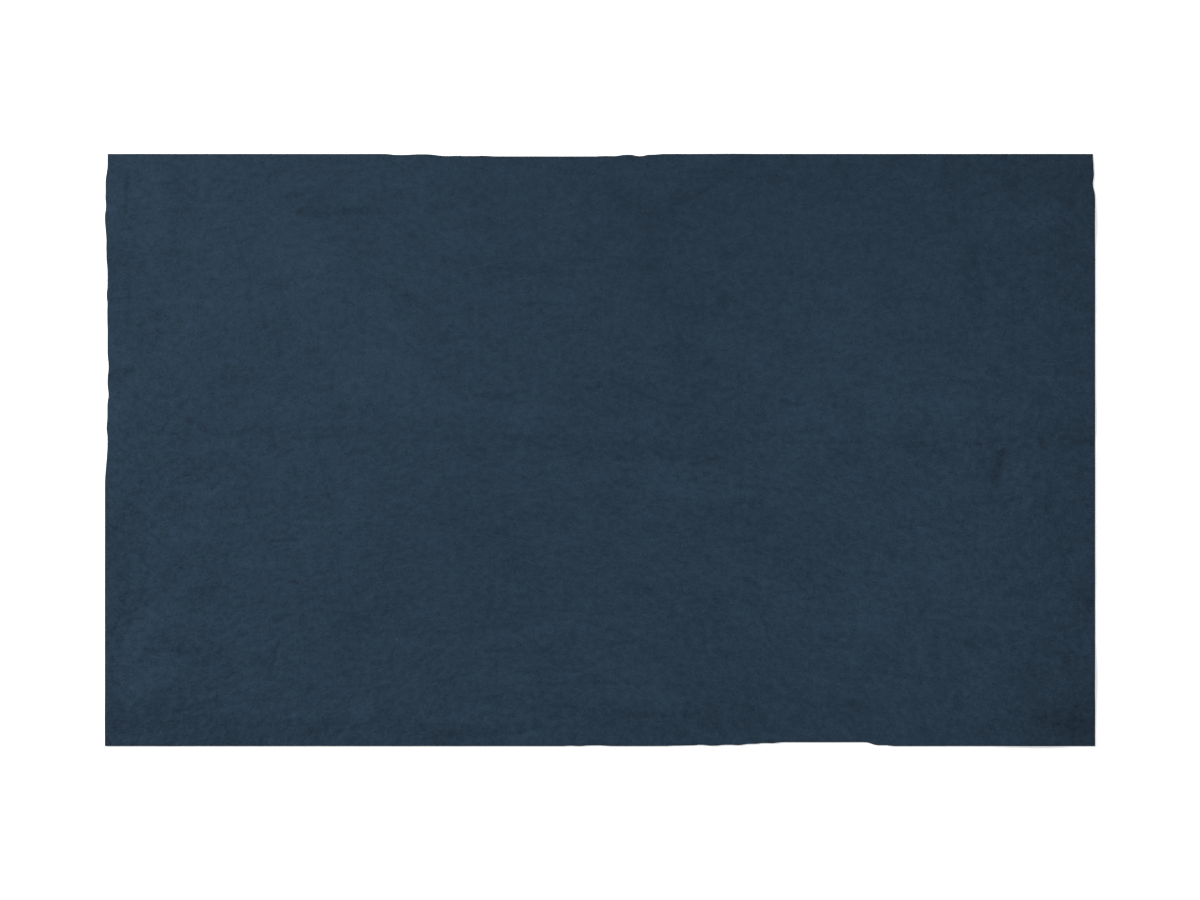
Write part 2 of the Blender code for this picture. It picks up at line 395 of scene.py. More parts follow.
    Crease(-0.070, -0.257, -0.040, -0.258, 0.000, 0.004, 0.0003),
    Crease(-0.040, -0.258, 0.002, -0.265, 0.001, 0.004, 0.0005),
    Crease(-0.016, -0.264, 0.058, -0.288, 0.001, 0.005, 0.0008),
    Crease(-0.002, -0.300, 0.064, -0.289, -0.001, 0.005, 0.0006),
    Crease(0.046, -0.288, 0.130, -0.283, 0.000, 0.004, 0.0004),
    Crease(-0.230, -0.306, -0.110, -0.306, 0.001, 0.004, 0.0004),
    Crease(-0.094, -0.309, -0.066, -0.295, -0.002, 0.004, 0.0005),
    Crease(-0.264, -0.311, -0.224, -0.309, 0.000, 0.006, 0.0003),
    Crease(-0.260, -0.353, -0.198, -0.340, 0.000, 0.004, 0.0004),
    Crease(-0.088, -0.333, -0.020, -0.334, 0.000, 0.005, 0.0005),
    Crease(-0.154, -0.300, -0.158, -0.392, 0.001, 0.004, 0.0004),
    Crease(0.154, -0.250, 0.166, -0.316, 0.000, 0.004, 0.0005),
    Crease(0.244, -0.244, 0.264, -0.302, 0.000, 0.004, 0.0006),
    Crease(0.050, -0.216, 0.084, -0.214, 0.000, 0.007, 0.0004),
    Crease(0.217, -0.191, 0.248, -0.216, 0.000, 0.007, 0.0010),
    Crease(-0.076, -0.383, 0.006, -0.398, -0.002, 0.006, 0.0006),
    Crease(-0.024, -0.353, 0.090, -0.357, 0.000, 0.005, 0.0004),
    Crease(0.036, -0.403, 0.108, -0.403, 0.000, 0.008, 0.0008),
    Crease(0.036, -0.376, 0.110, -0.377, 0.000, 0.006, -0.0005),
    Crease(0.066, -0.349, 0.110, -0.352, 0.000, 0.004, -0.0003),
    Crease(-0.172, -0.376, -0.143, -0.376, 0.000, 0.005, 0.0005),
    Crease(-0.182, -0.397, -0.123, -0.407, 0.000, 0.005, 0.0005),
    Crease(-0.290, -0.428, -0.140, -0.431, 0.000, 0.009, 0.0005),
    Crease(-0.150, -0.432, -0.056, -0.418, 0.000, 0.005, 0.0006),
    Crease(-0.208, -0.441, -0.158, -0.441, 0.000, 0.006, -0.0005),
    Crease(-0.140, -0.439, -0.090, -0.433, 0.000, 0.006, -0.0006),
    # Lower left corner.
    Crease(-0.647, -0.401, -0.560, -0.376, 0.000, 0.006, 0.0005),
    Crease(-0.630, -0.388, -0.576, -0.370, 0.000, 0.005, -0.0006),
    Crease(-0.680, -0.288, -0.654, -0.280, 0.000, 0.005, 0.0004),
    Crease(-0.694, -0.307, -0.610, -0.311, 0.003, 0.009, 0.0005),
    Crease(-0.582, -0.312, -0.548, -0.287, 0.000, 0.006, 0.0005),
    Crease(-0.562, -0.337, -0.533, -0.347, 0.000, 0.005, 0.0005),
    Crease(-0.642, -0.429, -0.612, -0.439, 0.000, 0.005, 0.0005),
    Crease(-0.410, -0.432, -0.348, -0.416, 0.000, 0.007, 0.0006),
    Crease(-0.388, -0.394, -0.350, -0.375, 0.000, 0.004, 0.0004),
    Crease(-0.370, -0.365, -0.308, -0.352, 0.000, 0.005, -0.0004),
    Crease(-0.484, -0.409, -0.426, -0.400, 0.000, 0.005, -0.0006),
    # Lower right.
    Crease(0.336, -0.281, 0.386, -0.304, 0.001, 0.007, 0.0008),
    Crease(0.290, -0.159, 0.354, -0.176, 0.000, 0.004, 0.0004),
    Crease(0.356, -0.181, 0.408, -0.207, 0.001, 0.004, 0.0006),
    Crease(0.378, -0.214, 0.440, -0.238, 0.000, 0.005, -0.0004),
    Crease(0.258, -0.374, 0.340, -0.391, 0.000, 0.008, 0.0004),
    Crease(0.408, -0.220, 0.452, -0.241, 0.000, 0.005, 0.0005),
    Crease(0.442, -0.220, 0.480, -0.247, 0.000, 0.008, 0.0004),
    Crease(0.454, -0.210, 0.492, -0.212, 0.000, 0.006, 0.0005),
    Crease(0.476, -0.256, 0.502, -0.234, 0.000, 0.004, 0.0003),
    Crease(0.284, -0.232, 0.332, -0.223, 0.000, 0.004, 0.0005),
)
CREASE_TIP = 0.4
CREASE_FULL = 1.8

centres = np.array([face.center for face in sheet.data.polygons])
crossed = np.zeros(len(centres), bool)
for crease in CREASES:
    wider = crease._replace(reach=crease.reach + CREASE_MARGIN)
    crossed |= stroke(wider, centres[:, 0], centres[:, 1], 1.0, CREASE_FULL) > 0.0
bpy.ops.object.mode_set(mode="EDIT")
select_faces(
    sheet.data, lambda face: bool(face.normal.z > FLAT_RISE and crossed[face.index])
)
bpy.ops.mesh.subdivide(number_cuts=CREASE_CUTS)
bpy.ops.object.mode_set(mode="OBJECT")

# Where handling has pushed the nap over, it lies lighter, above 0, or darker. The broad patches,
# listed first, are painted light and shade instead. A patch is half_long by half_wide about its
# middle, turned by so many degrees.
Patch = namedtuple("Patch", "x y half_long half_wide turn tone")
PATCHES = (
    # Painted light and shade, broad, over whole ends and corners: darker where the light falls off
    # towards the right end, the corners and the top, and lighter over two wide areas.
    Patch(0.740, 0.000, 0.400, 0.050, 90, -0.06),
    Patch(0.720, 0.420, 0.140, 0.080, 0, -0.12),
    Patch(0.735, -0.420, 0.130, 0.080, 20, -0.12),
    Patch(0.080, 0.420, 0.220, 0.100, 0, -0.05),
    Patch(0.400, 0.430, 0.200, 0.060, 0, -0.04),
    Patch(-0.640, -0.420, 0.170, 0.060, 0, -0.08),
    Patch(0.480, -0.100, 0.240, 0.260, 0, 0.07),
    Patch(-0.370, 0.150, 0.220, 0.170, 0, 0.06),
    # Left end.
    Patch(-0.680, 0.400, 0.060, 0.014, 90, 0.03),
    Patch(-0.720, 0.385, 0.050, 0.012, 90, -0.04),
    Patch(-0.640, 0.362, 0.026, 0.018, 90, 0.04),
    Patch(-0.540, 0.318, 0.030, 0.016, 0, 0.04),
    Patch(-0.530, 0.412, 0.030, 0.022, 0, -0.05),
    Patch(-0.720, 0.285, 0.040, 0.020, 80, -0.06),
    Patch(-0.600, 0.225, 0.050, 0.035, 0, 0.04),
    Patch(-0.735, 0.150, 0.025, 0.014, 90, 0.04),
    Patch(-0.735, 0.245, 0.060, 0.030, 90, -0.05),
    Patch(-0.690, 0.185, 0.025, 0.035, 0, -0.04),
    Patch(-0.686, 0.238, 0.035, 0.018, 110, -0.05),
    Patch(-0.552, 0.145, 0.020, 0.014, 0, -0.06),
    Patch(-0.640, 0.085, 0.030, 0.016, 90, -0.05),
    Patch(-0.535, 0.060, 0.030, 0.020, 50, -0.04),
    Patch(-0.725, 0.112, 0.030, 0.012, 15, -0.08),
    Patch(-0.732, 0.065, 0.035, 0.018, 90, 0.06),
    Patch(-0.500, 0.170, 0.040, 0.032, 30, -0.03),
    Patch(-0.500, 0.225, 0.030, 0.025, 0, 0.04),
    Patch(-0.545, 0.100, 0.050, 0.032, 0, -0.04),
    Patch(-0.600, 0.130, 0.030, 0.025, 0, 0.04),
    Patch(-0.580, 0.050, 0.040, 0.020, 0, 0.03),
    Patch(-0.500, 0.022, 0.035, 0.014, 0, -0.06),
    Patch(-0.600, -0.035, 0.070, 0.030, -10, -0.02),
    Patch(-0.702, -0.052, 0.030, 0.020, 90, -0.06),
    Patch(-0.735, -0.060, 0.050, 0.016, 90, 0.04),
    Patch(-0.600, -0.118, 0.042, 0.026, 30, 0.12),
    Patch(-0.668, -0.112, 0.050, 0.020, 50, -0.05),
    Patch(-0.733, -0.130, 0.075, 0.026, 85, -0.10),
    Patch(-0.676, -0.142, 0.022, 0.012, 50, -0.05),
    Patch(-0.712, -0.176, 0.024, 0.014, 30, -0.08),
    Patch(-0.735, -0.185, 0.035, 0.018, 90, -0.08),
    Patch(-0.570, -0.160, 0.035, 0.018, 30, -0.04),
    Patch(-0.588, -0.210, 0.020, 0.012, 10, -0.04),
    Patch(-0.720, -0.245, 0.040, 0.014, 60, -0.06),
    Patch(-0.675, -0.268, 0.034, 0.022, 65, 0.14),
    Patch(-0.625, -0.308, 0.040, 0.014, 0, -0.06),
    Patch(-0.736, -0.342, 0.030, 0.012, 80, -0.07),
    Patch(-0.680, -0.350, 0.060, 0.026, 25, 0.10),
    Patch(-0.740, -0.415, 0.022, 0.020, 0, -0.09),
    Patch(-0.570, -0.430, 0.030, 0.014, 0, -0.07),
    Patch(-0.585, -0.325, 0.022, 0.012, -20, -0.06),
    # Upper left.
    Patch(-0.470, 0.345, 0.060, 0.030, -35, 0.05),
    Patch(-0.400, 0.415, 0.024, 0.016, 90, -0.04),
    Patch(-0.460, 0.385, 0.030, 0.014, 0, -0.04),
    Patch(-0.400, 0.358, 0.060, 0.012, 0, -0.05),
    Patch(-0.355, 0.380, 0.030, 0.014, 0, 0.04),
    Patch(-0.425, 0.312, 0.022, 0.018, 0, -0.03),
    Patch(-0.398, 0.279, 0.018, 0.012, 0, 0.04),
    Patch(-0.420, 0.265, 0.060, 0.040, -20, 0.03),
    Patch(-0.330, 0.300, 0.022, 0.014, 0, -0.03),
    Patch(-0.330, 0.255, 0.055, 0.016, -35, -0.02),
    Patch(-0.450, 0.196, 0.032, 0.016, 35, -0.05),
    Patch(-0.270, 0.410, 0.050, 0.018, 10, 0.04),
    Patch(-0.200, 0.320, 0.036, 0.024, 0, 0.05),
    Patch(-0.190, 0.385, 0.045, 0.022, 90, -0.04),
    Patch(-0.160, 0.370, 0.022, 0.014, 90, -0.04),
    Patch(-0.370, 0.140, 0.065, 0.042, -20, 0.06),
    Patch(-0.295, 0.125, 0.030, 0.018, 0, 0.05),
    Patch(-0.275, 0.112, 0.030, 0.018, -30, 0.05),
    Patch(-0.280, 0.072, 0.030, 0.025, 0, 0.05),
    Patch(-0.284, 0.030, 0.020, 0.014, 0, 0.04),
    Patch(-0.428, 0.088, 0.032, 0.016, 110, -0.06),
    Patch(-0.200, 0.232, 0.040, 0.025, 0, 0.04),
    Patch(-0.240, 0.135, 0.045, 0.022, -60, -0.05),
    # Above the middle.
    Patch(-0.145, 0.275, 0.070, 0.014, -3, -0.07),
    Patch(-0.055, 0.370, 0.034, 0.018, 90, 0.04),
    Patch(-0.050, 0.225, 0.040, 0.014, -20, 0.04),
    Patch(0.012, 0.303, 0.040, 0.022, 80, -0.07),
    Patch(0.074, 0.155, 0.030, 0.018, 90, -0.06),
    Patch(0.056, 0.368, 0.040, 0.018, -25, -0.13),
    Patch(0.109, 0.362, 0.022, 0.012, 90, 0.06),
    Patch(0.098, 0.316, 0.032, 0.012, 0, -0.07),
    Patch(0.035, 0.268, 0.034, 0.022, 90, -0.04),
    Patch(0.130, 0.382, 0.026, 0.018, 20, -0.03),
    Patch(0.120, 0.212, 0.036, 0.022, -20, -0.08),
    Patch(0.155, 0.245, 0.040, 0.036, 0, -0.04),
    Patch(0.160, 0.125, 0.036, 0.014, -35, -0.06),
    Patch(0.160, 0.168, 0.016, 0.014, 0, 0.05),
    Patch(0.168, 0.192, 0.044, 0.010, 0, -0.05),
    Patch(0.098, 0.140, 0.022, 0.014, -40, -0.04),
    Patch(0.222, 0.255, 0.024, 0.014, 90, 0.04),
    Patch(0.225, 0.155, 0.055, 0.022, -15, 0.05),
    Patch(0.045, 0.128, 0.050, 0.018, 0, 0.04),
    Patch(0.030, 0.193, 0.022, 0.008, 0, 0.08),
    Patch(0.068, 0.037, 0.030, 0.010, -10, 0.07),
    Patch(0.010, 0.100, 0.060, 0.012, 0, -0.05),
    Patch(0.145, 0.050, 0.036, 0.028, -30, -0.05),
    Patch(-0.120, 0.050, 0.070, 0.020, -15, 0.09),
    Patch(-0.160, 0.082, 0.030, 0.010, 0, -0.07),
    Patch(-0.042, 0.101, 0.040, 0.012, 0, 0.05),
    Patch(-0.040, 0.055, 0.030, 0.010, -70, -0.06),
    Patch(-0.045, -0.026, 0.030, 0.016, 0, -0.03),
    Patch(-0.180, -0.008, 0.040, 0.018, -30, -0.08),
    Patch(0.120, -0.004, 0.110, 0.018, -6, -0.05),
    Patch(-0.030, 0.003, 0.100, 0.012, -3, -0.05),
    # Upper right.
    Patch(0.545, 0.420, 0.035, 0.014, 90, -0.07),
    Patch(0.690, 0.340, 0.034, 0.018, 14, 0.02),
    Patch(0.560, 0.292, 0.022, 0.016, 90, -0.06),
    Patch(0.536, 0.318, 0.018, 0.014, 90, -0.05),
    Patch(0.606, 0.236, 0.014, 0.014, 0, -0.05),
    Patch(0.568, 0.236, 0.016, 0.012, 0, -0.04),
    Patch(0.722, 0.285, 0.036, 0.024, 90, -0.08),
    Patch(0.722, 0.182, 0.026, 0.018, 0, -0.03),
    Patch(0.216, 0.186, 0.014, 0.008, 0, 0.06),
    Patch(0.530, 0.300, 0.028, 0.024, 80, -0.03),
    Patch(0.420, 0.322, 0.018, 0.014, 0, -0.08),
    Patch(0.370, 0.215, 0.040, 0.034, 0, 0.04),
    Patch(0.460, 0.105, 0.036, 0.026, 0, 0.04),
    Patch(0.282, 0.112, 0.055, 0.028, -20, 0.05),
    Patch(0.365, 0.170, 0.040, 0.030, 0, 0.08),
    Patch(0.400, 0.080, 0.050, 0.018, -5, 0.05),
    Patch(0.330, 0.044, 0.050, 0.014, -20, 0.10),
    Patch(0.350, 0.140, 0.066, 0.014, -22, 0.06),
    Patch(0.510, 0.114, 0.022, 0.012, -30, 0.05),
    Patch(0.540, 0.062, 0.040, 0.036, 30, 0.06),
    Patch(0.664, 0.074, 0.022, 0.013, 40, -0.07),
    Patch(0.636, 0.068, 0.028, 0.011, 0, -0.05),
    Patch(0.724, 0.066, 0.022, 0.012, 0, -0.05),
    Patch(0.702, 0.295, 0.024, 0.010, 90, -0.06),
    Patch(0.668, 0.262, 0.030, 0.024, 0, -0.05),
    Patch(0.694, 0.168, 0.022, 0.010, 90, -0.06),
    Patch(0.050, 0.095, 0.022, 0.012, 0, -0.04),
    # Right end.
    Patch(0.464, 0.040, 0.028, 0.015, 0, 0.09),
    Patch(0.533, 0.030, 0.026, 0.014, 30, 0.08),
    Patch(0.505, 0.006, 0.036, 0.008, -8, -0.07),
    Patch(0.556, 0.001, 0.024, 0.011, 20, -0.09),
    Patch(0.645, 0.030, 0.020, 0.010, 0, 0.06),
    Patch(0.705, 0.012, 0.060, 0.012, 0, -0.07),
    Patch(0.604, -0.022, 0.040, 0.011, 76, -0.11),
    Patch(0.628, -0.050, 0.022, 0.012, 80, 0.04),
    Patch(0.650, -0.045, 0.036, 0.014, 70, -0.08),
    Patch(0.700, -0.140, 0.040, 0.018, 20, -0.05),
    Patch(0.640, -0.162, 0.030, 0.014, 0, 0.04),
    Patch(0.740, -0.230, 0.026, 0.016, -40, -0.08),
    Patch(0.698, -0.228, 0.024, 0.018, 20, 0.04),
    Patch(0.640, -0.262, 0.030, 0.018, 80, 0.05),
    Patch(0.684, -0.268, 0.050, 0.028, 80, -0.11),
    Patch(0.711, -0.303, 0.018, 0.013, 0, 0.05),
    Patch(0.722, -0.340, 0.032, 0.016, 0, -0.10),
    Patch(0.665, -0.405, 0.045, 0.040, 0, -0.07),
    Patch(0.580, -0.372, 0.036, 0.024, 80, 0.08),
    Patch(0.700, -0.405, 0.060, 0.032, 10, -0.10),
    Patch(0.713, -0.414, 0.020, 0.012, 0, -0.03),
    Patch(0.735, -0.430, 0.030, 0.026, 0, -0.10),
    # Lower right.
    Patch(0.500, -0.180, 0.044, 0.032, -20, 0.10),
    Patch(0.490, -0.126, 0.020, 0.015, 90, -0.06),
    Patch(0.472, -0.226, 0.034, 0.014, 0, 0.06),
    Patch(0.380, -0.262, 0.055, 0.018, 4, 0.11),
    Patch(0.300, -0.272, 0.024, 0.012, 0, 0.05),
    Patch(0.266, -0.252, 0.022, 0.011, 0, -0.06),
    Patch(0.236, -0.206, 0.026, 0.010, -20, -0.05),
    Patch(0.425, -0.225, 0.036, 0.020, 10, 0.06),
    Patch(0.330, -0.155, 0.050, 0.022, 30, -0.06),
    Patch(0.270, -0.212, 0.032, 0.018, -10, 0.05),
    Patch(0.400, -0.108, 0.060, 0.014, -25, 0.06),
    Patch(0.455, -0.385, 0.050, 0.014, 80, 0.05),
    Patch(0.385, -0.392, 0.060, 0.018, 0, -0.04),
    Patch(0.620, -0.285, 0.035, 0.012, 0, -0.04),
    # Below the middle.
    Patch(0.100, -0.046, 0.036, 0.022, -20, 0.10),
    Patch(0.168, -0.076, 0.044, 0.013, -8, 0.08),
    Patch(0.225, -0.037, 0.060, 0.011, -8, 0.06),
    Patch(0.040, -0.056, 0.036, 0.013, 0, -0.06),
    Patch(-0.070, -0.050, 0.042, 0.034, 0, 0.05),
    Patch(0.080, -0.078, 0.055, 0.026, 0, 0.08),
    Patch(0.110, -0.144, 0.060, 0.016, -15, 0.06),
    Patch(0.160, -0.131, 0.038, 0.010, -15, -0.06),
    Patch(0.158, -0.168, 0.046, 0.010, -20, 0.05),
    Patch(0.215, -0.100, 0.060, 0.024, -20, -0.06),
    Patch(-0.170, -0.120, 0.070, 0.034, 0, -0.05),
    Patch(-0.070, -0.142, 0.036, 0.024, 0, 0.04),
    Patch(0.030, -0.200, 0.036, 0.014, 35, 0.05),
    Patch(0.070, -0.222, 0.034, 0.012, -20, 0.03),
    Patch(-0.118, -0.205, 0.024, 0.014, 90, 0.04),
    Patch(0.165, -0.248, 0.060, 0.022, -15, -0.05),
    Patch(-0.050, -0.276, 0.100, 0.016, 4, 0.05),
    Patch(0.020, -0.335, 0.036, 0.018, -15, 0.05),
    Patch(0.088, -0.334, 0.030, 0.020, 0, 0.05),
    Patch(0.070, -0.425, 0.060, 0.016, 0, -0.05),
    Patch(0.078, -0.375, 0.042, 0.014, 0, 0.07),
    Patch(0.180, -0.380, 0.070, 0.032, -5, -0.07),
    Patch(-0.015, -0.389, 0.040, 0.014, 0, -0.08),
    Patch(0.085, -0.402, 0.024, 0.012, 0, -0.05),
    Patch(0.150, -0.425, 0.050, 0.014, -15, -0.08),
    Patch(-0.158, -0.366, 0.036, 0.018, 0, 0.05),
    Patch(0.146, -0.318, 0.026, 0.014, 90, 0.05),
    # Lower left of the middle.
    Patch(-0.370, -0.060, 0.030, 0.020, 90, 0.04),
    Patch(-0.430, -0.115, 0.090, 0.050, 0, 0.04),
    Patch(-0.230, -0.026, 0.040, 0.022, 0, 0.04),
    Patch(-0.296, -0.142, 0.036, 0.018, 10, -0.03),
    Patch(-0.336, -0.170, 0.022, 0.014, 30, 0.04),
    Patch(-0.425, -0.085, 0.024, 0.020, 0, -0.06),
    Patch(-0.385, -0.165, 0.065, 0.016, 80, 0.05),
    Patch(-0.355, -0.250, 0.048, 0.028, 50, -0.07),
    Patch(-0.260, -0.240, 0.036, 0.024, 60, 0.04),
    Patch(-0.510, -0.195, 0.050, 0.030, 80, 0.04),
    Patch(-0.465, -0.222, 0.034, 0.012, 15, 0.04),
    Patch(-0.160, -0.230, 0.060, 0.040, 0, -0.03),
    Patch(-0.480, -0.320, 0.034, 0.016, 90, 0.04),
    Patch(-0.530, -0.330, 0.030, 0.016, 90, 0.05),
    Patch(-0.330, -0.345, 0.055, 0.022, 15, 0.04),
    Patch(-0.292, -0.385, 0.024, 0.014, -30, -0.06),
    Patch(-0.368, -0.381, 0.026, 0.009, 10, -0.04),
    Patch(-0.364, -0.400, 0.026, 0.011, 25, 0.17),
    Patch(-0.205, -0.430, 0.075, 0.012, 0, -0.08),
    Patch(-0.120, -0.440, 0.045, 0.010, 0, 0.07),
)
PATCH_FALL = 0.8

# The nap is brushed along the blanket, but it sways: over each of these places its strokes rise
# above their straight line by so much.
Sway = namedtuple("Sway", "x y half_long half_wide rise")
SWAYS = (
    Sway(-0.050, -0.420, 0.520, 0.420, 0.180),
    Sway(-0.430, 0.290, 0.170, 0.150, 0.045),
)

# It is also more ruffled in some places, where its mottling shows by this share more, than in
# others.
Ruffle = namedtuple("Ruffle", "x y half_long half_wide more")
RUFFLES = (
    Ruffle(-0.720, -0.250, 0.250, 0.350, 0.16),
    Ruffle(0.150, 0.430, 0.600, 0.300, -0.19),
    Ruffle(0.500, -0.120, 0.280, 0.300, 0.09),
)


def patch_tone(patch, x, y):
    """How much lighter or darker this patch makes the nap at each point."""
    turn = math.radians(patch.turn)
    along = ((x - patch.x) * math.cos(turn) + (y - patch.y) * math.sin(turn)) / patch.half_long
    aside = ((y - patch.y) * math.cos(turn) - (x - patch.x) * math.sin(turn)) / patch.half_wide
    return patch.tone * np.exp(-PATCH_FALL * (along * along + aside * aside))


def nearness(place, x, y):
    """1 in the middle of this place, fading out over its half sizes."""
    along = (x - place.x) / place.half_long
    up = (y - place.y) / place.half_wide
    return np.exp(-(along * along + up * up))


def field(x, y, long, wide, seed):
    """Soft noise at each point, about -1 to 1, in shapes about long by wide."""
    return np.array(
        [noise.noise(Vector((u / long, v / wide, seed))) for u, v in zip(x, y)]
    )


# Nothing on cloth is drawn with a ruler. The edge and the lines of folds, creases and patches stray
# by up to about far, in bends about long by wide.
Stray = namedtuple("Stray", "far long wide seed_x seed_y")
EDGE_STRAY = Stray(0.00010, 0.030, 0.030, 1.5, 4.5)
FOLD_STRAY = Stray(0.009, 0.060, 0.060, 15.5, 17.5)
CREASE_STRAY = Stray(0.003, 0.018, 0.018, 11.5, 13.5)
PATCH_STRAY = Stray(0.009, 0.022, 0.018, 7.5, 9.5)


def astray(stray, x, y):
    """The points, each moved aside by this much."""
    aside = field(x, y, stray.long, stray.wide, stray.seed_x)
    up = field(x, y, stray.long, stray.wide, stray.seed_y)
    return x + stray.far * aside, y + stray.far * up


# The nap isn't level either. It clumps into low ripples along the brushing, and into tufts.
Bumps = namedtuple("Bumps", "height long wide seed")
RIPPLES = Bumps(0.00016, 0.036, 0.015, 2.5)
TUFTS = Bumps(0.00012, 0.015, 0.011, 6.5)

# A fold isn't equally high all along. In stretches about FOLD_STRETCH long it has FOLD_SHARE of its
# height, give or take FOLD_UNEVEN, but no less than FOLD_LEAST and no more than FOLD_MOST.
FOLD_SHARE = 0.85
FOLD_UNEVEN = 0.9
FOLD_LEAST = 0.3
FOLD_MOST = 1.2
FOLD_STRETCH = 0.050
FOLD_SEED = 19.5

# Along the cut edge, where the rounded edge falls away from the light, the nap is painted a little
# darker: painted shade.
EDGE_SHADE = -0.10
EDGE_SHADE_REACH = 0.003

MILLIMETRES = 1000.0

flat = np.empty(len(sheet.data.vertices) * 3, np.float32)
sheet.data.vertices.foreach_get("co", flat)
flat = flat.reshape(-1, 3).astype(float)
x, y = in_outline(flat[:, 0], flat[:, 1])
x, y = astray(EDGE_STRAY, x, y)

fold_x, fold_y = astray(FOLD_STRAY, x, y)
lift = sum(fold.height * stroke(fold, fold_x, fold_y, FOLD_TIP, FOLD_FULL) for fold in FOLDS)
uneven = FOLD_SHARE + FOLD_UNEVEN * field(x, y, FOLD_STRETCH, FOLD_STRETCH, FOLD_SEED)
lift *= np.clip(uneven, FOLD_LEAST, FOLD_MOST)

crease_x, crease_y = astray(CREASE_STRAY, x, y)
pressed = sum(
    crease.depth * stroke(crease, crease_x, crease_y, CREASE_TIP, CREASE_FULL)
    for crease in CREASES
)
brushed = y - sum(sway.rise * nearness(sway, x, y) for sway in SWAYS)
bumps = sum(
    kind.height * field(x, brushed, kind.long, kind.wide, kind.seed) for kind in (RIPPLES, TUFTS)
)
up_share = flat[:, 2] / THICKNESS
z = lift + flat[:, 2] + up_share * (bumps - pressed)
shaped = np.column_stack((x, y, z)).astype(np.float32)
sheet.data.vertices.foreach_set("co", shaped.ravel())
sheet.data.update()

from_end = np.minimum(flat[:, 0] - low.x, high.x - flat[:, 0])
from_side = np.minimum(flat[:, 1] - low.y, high.y - flat[:, 1])
from_edge = np.minimum(from_end, from_side)
patch_x, patch_y = astray(PATCH_STRAY, x, y)
# The nap's lay and painted shade: painted shade along the cut edge, then the patches, the broad ones
# of which are painted light and shade.
lay_and_shade = EDGE_SHADE * np.exp(-((from_edge / EDGE_SHADE_REACH) ** 2))
lay_and_shade += sum(patch_tone(patch, patch_x, patch_y) for patch in PATCHES)
ruffled = 1.0 + sum(ruffle.more * nearness(ruffle, x, y) for ruffle in RUFFLES)
marks = {"pressed": pressed * MILLIMETRES, "nap_lay_and_shade": lay_and_shade, "ruffled": ruffled}
for name, values in marks.items():
    mark = sheet.data.attributes.new(name, "FLOAT", "POINT")
    mark.data.foreach_set("value", values.astype(np.float32))

strokes = sheet.data.uv_layers.new(name="brushing")
corners = np.empty(len(sheet.data.loops), np.int32)
sheet.data.loops.foreach_get("vertex_index", corners)
brushing = np.column_stack((x, brushed))[corners].astype(np.float32)
strokes.data.foreach_set("uv", brushing.ravel())
bpy.ops.object.shade_smooth()


class Wire:
    """A value in a material. Sums, differences and products of wires and numbers add Math nodes."""

    def __init__(self, material, socket):
        self.material = material
        self.socket = socket

    def node(self, kind, settings=None, sockets=None, output=0):
        """Adds a node with these settings and these values or wires on its sockets."""
        made = self.material.node_tree.nodes.new(kind)
        for name, value in (settings or {}).items():
            setattr(made, name, value)
        for name, value in (sockets or {}).items():
            if isinstance(value, Wire):
                self.material.node_tree.links.new(value.socket, made.inputs[name])
            else:
                made.inputs[name].default_value = value
        return Wire(self.material, made.outputs[output])

    def math(self, operation, *terms):
        terms = dict(enumerate(terms or (self,)))
        return self.node("ShaderNodeMath", {"operation": operation}, terms)

    def held(self):
        """The same, held between 0 and 1."""
        return self.node("ShaderNodeClamp", {}, {"Value": self})

    def __add__(self, other):
        return self.math("ADD", self, other)

    def __radd__(self, other):
        return self.math("ADD", other, self)

    def __sub__(self, other):
        return self.math("SUBTRACT", self, other)

    def __rsub__(self, other):
        return self.math("SUBTRACT", other, self)

    def __mul__(self, other):
        return self.math("MULTIPLY", self, other)

    def __rmul__(self, other):
        return self.math("MULTIPLY", other, self)


def new_material(name):
    """A material with its Principled shader, and a wire to start its nodes from."""
    material = bpy.data.materials.new(name)
    material.use_nodes = True
    shader = material.node_tree.nodes["Principled BSDF"]
    return material, shader, Wire(material, None)
